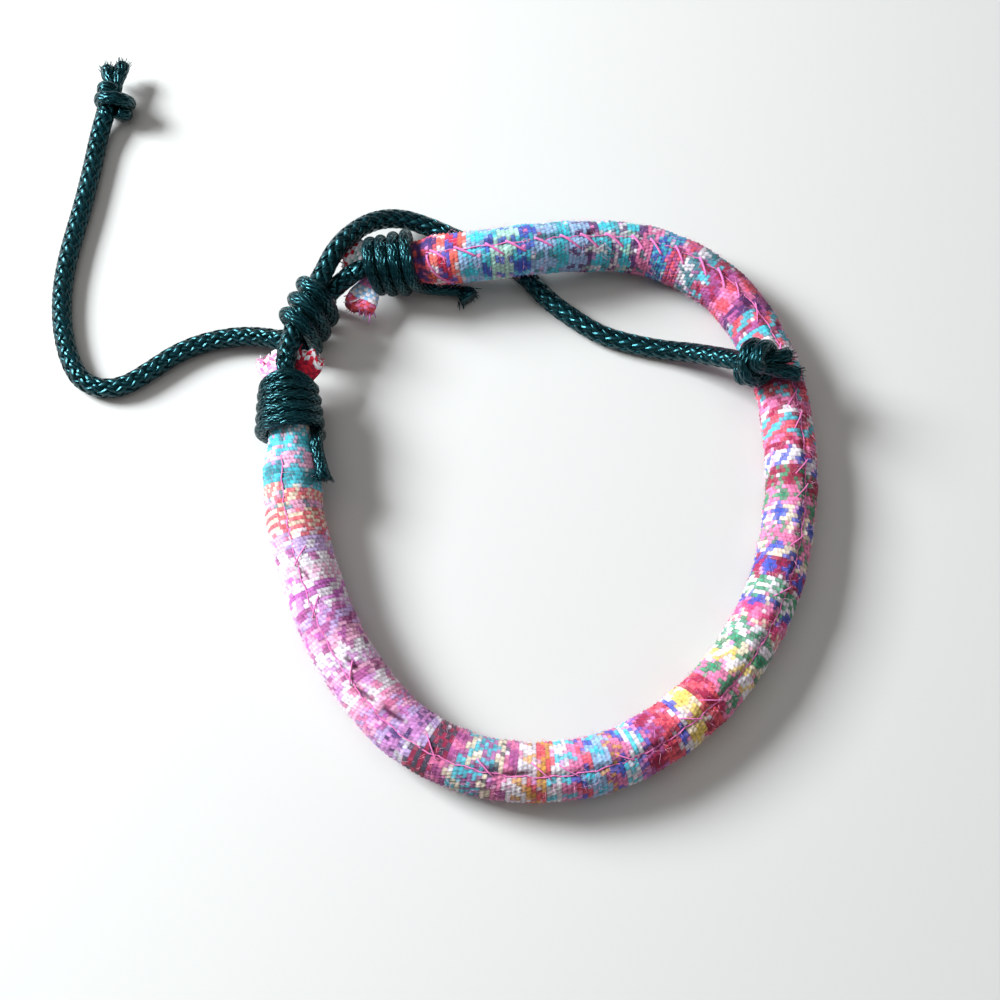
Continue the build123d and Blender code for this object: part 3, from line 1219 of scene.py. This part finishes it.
    def build_tube(self, material: Material) -> Piece:
        """Make the padded cloth tube.

        Args:
            material: Finish of the cloth.

        Returns:
            The tube, with its yarn colours and painted shade in an attribute.
        """
        draw = np.random.default_rng(11)
        turn, bulge = self.turn, self.bulge
        arc = np.minimum(turn, 2 * np.pi - turn)[None, :] * self.radii[:, None]
        groove = np.exp(-(arc / self.seam_half_width) ** 2)
        lumps = (np.sin(self.along[:, None] * 0.9 + 1.3 * np.sin(turn * 2)[None, :])
                 * np.sin(self.along[:, None] * 0.37 + turn[None, :]))
        dark = self.cut_slits()
        height = (self.relief * (bulge - self.sunk_share) + self.lump * lumps - self.seam_depth * groove
                  + self.scatter(draw, 0, self.grain) - self.slit_depth * dark)
        points = self.at(self.along[:, None], turn[None, :], height)
        points[:, :, 2] = np.maximum(points[:, :, 2], self.clearance)
        cells = self.dye(draw)
        # Painted shade: darker at the cells' edges and along the seam's groove, lighter on the cells' crowns.
        shade = (self.edge_shade + self.crown_shade * bulge) * (1 - self.seam_shade * groove)
        gap, slit = np.array(self.gap_tint_and_shade), np.array(self.slit_shade)

        def tone(cell: tuple, spot: tuple) -> tuple:
            """Mix a cell's yarn at one of its corners with the pinkish tint and painted shade between the
            cells, and with painted shade along the seam and in the slits.

            Args:
                cell: First ring and side of the cell.
                spot: Ring and side of the corner.

            Returns:
                The corner's colour.
            """
            here = (spot[0], spot[1] % len(turn))
            share = self.gap_share * (1 - bulge[here])
            colour = (cells[cell] * (1 - share) + gap * share) * shade[here]
            colour = colour * (1 - dark[here]) + slit * dark[here]
            return *np.clip(colour, 0.0, 1.0), 1.0

        mesh = bmesh.new()
        layer = mesh.loops.layers.float_color.new(YARN_AND_SHADE_LAYER)
        paint_cells(mesh, roll_grid(mesh, points), layer, tone)
        made = finish_piece(mesh, "cloth_tube", material, "woven_sleeve")
        return made

    def build_stitches(self, material: Material) -> Piece:
        """Sew the seam: a line of thread along it and slanting stitches across it.

        Args:
            material: Finish of the thread.

        Returns:
            The stitches.
        """
        draw = np.random.default_rng(12)
        samples = np.linspace(0, 1, 11)
        tubes = []
        for number in range(int(self.cloth_length / self.stitch_spacing)):
            middle = (number + 0.6 + 0.25 * (draw.random() - 0.5)) * self.stitch_spacing
            shown = middle < self.shown_stitches * self.cloth_length
            if draw.random() < self.skipped_stitches and not shown:
                continue
            along = middle + (samples - 0.3) * (1.7 + 0.5 * draw.random())
            turn = (0.25 - samples * (1.3 + 0.5 * draw.random())) / self.model_radius
            proud = 0.15 * np.sin(np.pi * samples) ** 0.6 - 0.06
            thread = self.pulled_thread if shown else self.fine_thread
            tubes.append(thread_round(self.at(along, turn, proud), thread, self.thread_sides))
        loose_end = self.at(0.5 + 2.4 * samples ** 2, -0.1 - 1.5 * samples, 0.06)
        tubes.append(thread_round(loose_end, self.pulled_thread, self.thread_sides))
        along = np.arange(0.4, self.cloth_length - 0.4, 0.45)
        sway = 0.10 * np.sin(along * 2.3) + 0.05 * np.sin(along * 5.1)
        seam = self.at(along, sway / self.model_radius, -0.20 + 0.05 * np.sin(along * 4.7))
        skein = Skein()
        skein.add(np.array(tubes))
        skein.add(thread_round(seam, self.fine_thread, self.thread_sides)[None])
        return skein.finish("seam_stitches", material)

    def build_fuzz(self, material: Material) -> Piece:
        """Let short loose fibres stand out of the cloth.

        Args:
            material: Finish of the fibres.

        Returns:
            The fuzz.
        """
        draw = np.random.default_rng(13)
        steps = np.linspace(0, 1, 4)
        tubes = []
        for _ in range(self.fibres):
            along = draw.uniform(0.8, self.cloth_length - 0.8)
            turn = draw.uniform(-2.5, 2.5)
            length = draw.uniform(0.25, 0.8)
            lean = draw.normal(0, 0.7, 2)
            bend = steps ** 1.5 * length
            line = self.at(along + bend * lean[0], turn + bend * lean[1] / 2.8, 0.02 + steps * length * 0.7)
            line[:, 2] = np.maximum(line[:, 2], 0.03)
            tubes.append(thread_round(line, self.fibre_radius * (1 - 0.6 * steps), 3))
        skein = Skein()
        skein.add(np.array(tubes))
        return skein.finish("cloth_fuzz", material)


@dataclass
class ClothLobe:
    """One frayed lobe of the flattened cloth beyond a binding."""

    name: str
    root: tuple
    tip: tuple
    width: float
    thickness: float
    bands: tuple
    seed: int
    ring_count: int = 31
    sides: int = 44
    cell_rings: int = 3
    ragged: float = 0.35
    stray_share: float = 0.2
    threads: int = 26

    def __post_init__(self) -> None:
        """Find the lobe's directions and its length."""
        self.start, way = np.array(self.root), np.array(self.tip) - np.array(self.root)
        self.along, self.side, self.rise = level_frame(way)
        self.length = np.linalg.norm(way)

    def rings(self, draw: np.random.Generator) -> Array:
        """Shape the lobe.

        Args:
            draw: Source of the cut edge's tatters.

        Returns:
            Points by ring and side.
        """
        share = np.linspace(0, 1, self.ring_count)
        turn = circle(self.sides)
        wide = self.width / 2 * (0.45 + 0.55 * smooth_step(share * 1.4))
        thick = self.thickness / 2 * (0.8 + 0.2 * np.cos(share * 5))
        close = np.sqrt(np.clip(1 - np.clip((share - 0.86) / 0.14, 0, 1) ** 2, 0, 1))
        wide, thick = wide * (0.25 + 0.75 * close), thick * close
        thick[-1] = 0.0
        tatters = draw.normal(0, self.ragged, self.sides)
        tatters = (tatters + np.roll(tatters, 1) + np.roll(tatters, -1)) / 3
        ahead = share[:, None] * (self.length + tatters[None, :] * smooth_step(share)[:, None])
        ruffle = 0.16 * np.sin(turn * 3 + self.seed)[None, :] * share[:, None]
        cells = 0.06 * np.abs(np.sin(share[:, None] * self.length * 6.3)) * np.abs(np.sin(turn * 9))[None, :]
        lift = thick[:, None] * np.sin(turn)[None, :] + ruffle + cells
        across = wide[:, None] * np.cos(turn)[None, :]
        points = (self.start + self.along * ahead[:, :, None] + self.side * across[:, :, None]
                  + self.rise * lift[:, :, None])
        points[:, :, 2] = np.maximum(points[:, :, 2], 0.05)
        return points

    def colours(self, draw: np.random.Generator) -> Array:
        """Colour the lobe in small cells, three rings long and two sides wide, with painted shade on each
        cell's first ring.

        Args:
            draw: Source of the stray yarns.

        Returns:
            Linear colours with alpha, by ring and side.
        """
        count, sides = self.ring_count, self.sides
        colours = np.zeros((count, sides, 4))
        number = np.clip((np.linspace(0, 1, count) * len(self.bands)).astype(int), 0, len(self.bands) - 1)
        for ring in range(count):
            pair = self.bands[number[ring]]
            first_ring = ring - ring % self.cell_rings
            for index in range(sides):
                pick = (index // 2 + ring // self.cell_rings) % len(pair)
                if draw.random() < self.stray_share:
                    pick = int(draw.integers(len(pair)))
                colours[ring, index] = pair[pick].linear()
                if first_ring != ring or index % 2:
                    colours[ring, index] = colours[first_ring, index - index % 2]
        # Painted shade: each cell's first ring darker, the other rings a little lighter.
        gap_shade = np.where(np.arange(count)[:, None] % self.cell_rings == 0, 0.72, 1.05)
        colours[:, :, :3] *= gap_shade[:, :, None] * draw.uniform(0.92, 1.05, (count, sides, 1))
        return colours

    def build(self, material: Material) -> Piece:
        """Make the lobe with a fringe of loose thread ends.

        Args:
            material: Finish of the cloth.

        Returns:
            The finished lobe.
        """
        draw = np.random.default_rng(self.seed)
        points, colours = self.rings(draw), self.colours(draw)
        mesh = bmesh.new()
        layer = mesh.loops.layers.float_color.new(YARN_AND_SHADE_LAYER)
        paint_cells(mesh, roll_grid(mesh, points), layer, lambda cell, spot: colours[cell])
        self.add_fringe(mesh, layer)
        return finish_piece(mesh, self.name, material)

    def add_fringe(self, mesh: Mesh, layer: object) -> None:
        """Add loose thread ends round the lobe's cut edge.

        Args:
            mesh: The lobe's mesh.
            layer: The layer of yarn colours, which holds painted shade too.
        """
        draw = np.random.default_rng(self.seed + 50)
        along, side, rise = self.along, self.side, self.rise
        steps = np.linspace(0, 1, 6)
        for _ in range(self.threads):
            across = draw.uniform(-0.46, 0.46) * self.width
            height = draw.uniform(-0.35, 0.35) * self.thickness
            root = self.start + along * self.length * draw.uniform(0.7, 0.92) + side * across + rise * height
            reach = draw.uniform(0.5, 1.3)
            way = unit(along + side * (across / self.width + draw.normal(0, 0.35)) + rise * draw.normal(0, 0.3))
            bend = side * draw.normal(0, 0.25) + rise * draw.normal(0, 0.2)
            line = root + way * (steps * reach)[:, None] + bend * (steps ** 2)[:, None]
            line[:, 2] = np.maximum(line[:, 2], 0.12)
            pair = self.bands[int(draw.integers(len(self.bands)))]
            tint = pair[int(draw.integers(len(pair)))].linear()
            for vert in roll_grid(mesh, thread_round(line, 0.10 * (1 - 0.4 * steps), 5)):
                for corner in vert.link_loops:
                    corner[layer] = tint


def aim(holder: Piece, place: tuple, target: tuple) -> None:
    """Put a light or a camera in its place and turn it.

    Args:
        holder: The light's or camera's object.
        place: Where it goes, in millimetres.
        target: What it faces, in millimetres.
    """
    holder.location = Vector(place) * MM
    holder.rotation_euler = (Vector(target) * MM - holder.location).to_track_quat("-Z", "Y").to_euler()
    bpy.context.scene.collection.objects.link(holder)


@dataclass(frozen=True)
class Lamp:
    """Soft square light that faces the bracelet, in millimetres and watts."""

    name: str
    place: tuple
    size: float
    power: float
    colour: tuple

    def hang(self) -> None:
        """Add the light to the scene."""
        lamp = bpy.data.lights.new(self.name, "AREA")
        lamp.shape = "SQUARE"
        lamp.size = self.size * MM
        lamp.energy = self.power
        lamp.color = self.colour
        aim(bpy.data.objects.new(self.name, lamp), self.place, (0.0, 0.0, 0.0))


@dataclass
class Studio:
    """Pale floor, soft lights and the camera at the photograph's angle."""

    camera_place: tuple = (-3.7, -55.1, 152.2)
    look_at: tuple = (-3.7, 0.3, 0.0)
    lens: float = 54.0
    sensor: float = 36.0
    clip: tuple = (0.01, 10.0)
    floor_size: float = 3.0
    sky: tuple = (0.95, 0.97, 1.0, 1)
    sky_strength: float = 0.10
    lamps: tuple = (
        Lamp("window", (-360, 150, 250), size=180, power=5.8, colour=(0.92, 0.97, 1.0)),
        Lamp("ceiling", (-60, 40, 420), size=380, power=0.50, colour=(1.0, 0.99, 0.97)),
        Lamp("fill", (300, -160, 240), size=260, power=0.25, colour=(1.0, 0.97, 0.94)),
    )

    def build(self) -> None:
        """Make the floor, the lights and the camera."""
        mesh = bmesh.new()
        bmesh.ops.create_grid(mesh, x_segments=1, y_segments=1, size=self.floor_size)
        data = bpy.data.meshes.new("floor")
        mesh.to_mesh(data)
        mesh.free()
        data.materials.append(FloorFinish().make())
        floor = bpy.data.objects.new("floor", data)
        bpy.context.scene.collection.objects.link(floor)
        for lamp in self.lamps:
            lamp.hang()
        world = bpy.data.worlds.new("studio")
        world.use_nodes = True
        colour, strength = world.node_tree.nodes["Background"].inputs[:2]
        colour.default_value, strength.default_value = self.sky, self.sky_strength
        bpy.context.scene.world = world
        bpy.context.scene.view_settings.view_transform = "Standard"
        camera = bpy.data.cameras.new("camera")
        camera.lens = self.lens
        camera.sensor_width = self.sensor
        camera.clip_start, camera.clip_end = self.clip
        bpy.context.scene.camera = bpy.data.objects.new("camera", camera)
        aim(bpy.context.scene.camera, self.camera_place, self.look_at)


LOBES = (
    ClothLobe("left_lobe_west", (-27.0, 11.0, 4.6), (-28.6, 15.2, 4.4), width=3.6, thickness=2.2,
              bands=((T.PINK, T.WHITE), (T.LILAC, T.BLUSH), (T.WHITE, T.PINK)), seed=21),
    ClothLobe("left_lobe_east", (-25.8, 11.0, 4.6), (-24.2, 15.6, 4.4), width=3.6, thickness=2.2,
              bands=((T.CRIMSON, T.WHITE), (T.RED, T.CRIMSON), (T.WHITE, T.RED)), seed=22),
    ClothLobe("far_lobe_north", (-17.6, 27.4, 3.9), (-21.0, 28.3, 3.9), width=4.2, thickness=1.7,
              bands=((T.CRIMSON, T.RED), (T.WHITE, T.GREY_MINT), (T.RED, T.WHITE)), seed=23),
    ClothLobe("far_lobe_south", (-17.5, 26.0, 3.4), (-19.7, 21.9, 2.2), width=3.6, thickness=2.1,
              bands=((T.LILAC, T.PINK), (T.SKY, T.WHITE), (T.CORAL, T.PINK)), seed=24),
)


def main() -> None:
    """Build the bracelet's pieces in order and report each one."""
    logging.basicConfig(level=logging.INFO, format="%(name)s %(message)s")
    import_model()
    places = Bracelet()
    Studio().build()
    cord = WaxedCordFinish().make()
    cloth = ClothFinish().make()
    seam_thread = ThreadFinish("seam_thread_finish", Tint.THREAD_PINK).make()
    loose_fibre = ThreadFinish("loose_fibre_finish", Tint.BLUSH).make()

    inner_stopper = StopperKnot(
        "inner_stopper_cord", "inner_stopper_knot", places.inner_route[-1], axis=(0.700, -0.434, 0.567),
        tuft_way=(0.960, 0.140, -0.240), lean=(0.6, 0.0, 0.0), radius=1.9,
        prong_length=3.7, prong_spread=0.85).build(cord)
    outer_stopper = StopperKnot(
        "outer_stopper_cord", "outer_stopper_knot", places.outer_route[-1], axis=(0.243, 0.940, 0.239),
        tuft_way=(-0.050, 0.994, -0.099), lean=(0.75, -0.55, 0.25), radius=1.65,
        prong_length=2.85, prong_spread=0.7, turns=1.6, pitch=1.3).build(cord)
    sliding = SlidingKnot(places.slide).build(cord)
    inner = Drawcord("inner_drawcord", "inner_cord", places.inner_exit, places.inner_route,
                     length=68.8).build(cord, [inner_stopper])
    outer = Drawcord("outer_drawcord", "outer_cord", places.outer_exit, places.outer_route,
                     length=71.0).build(cord, [outer_stopper, sliding])
    left = Whipping(
        "left_binding_cord", "left_whipping", places.left,
        lead=(places.inner_exit, (-26.52, 12.70, 6.30), (-26.45, 11.00, 5.40)), end_angle=1710,
        start_reach=3.0, arch=0.6, pitch=1.26, radii=(2.5, 3.22),
        tail=((-23.20, 5.25, 5.4), (-22.92, 3.54, 5.3), (-22.34, 1.73, 5.2), (-22.30, 0.71, 5.1)),
        tail_flare=1.30, seed=31).build(cord)
    far = Whipping(
        "far_binding_cord", "far_whipping", places.far,
        lead=(places.outer_exit, (-18.60, 26.10, 4.90), (-16.90, 26.70, 4.60)), end_angle=1160,
        start_reach=2.0, arch=0.2, pitch=1.42, radii=(2.6, 3.2),
        tail=((-12.20, 24.80, 2.2), (-10.40, 24.90, 1.7), (-8.60, 24.90, 1.5), (-7.60, 24.60, 1.5),
              (-7.10, 23.90, 1.5)),
        tail_flare=1.75, seed=32).build(cord)
    sleeve = WovenSleeve(places.sleeve_route, places.far.axis, places.left.axis)
    soft = [sleeve.build_tube(cloth), sleeve.build_stitches(seam_thread), sleeve.build_fuzz(loose_fibre)]
    lobes = [lobe.build(cloth) for lobe in LOBES]
    for made in (inner_stopper, outer_stopper, sliding, inner, outer, left, far, *soft, *lobes):
        LOG.info("%s: %d faces", made.name, len(made.data.polygons))
    LOG.info("cloth rows %d, row length %.3f mm", sleeve.rows, sleeve.row_length)


if __name__ == "__main__":
    main()
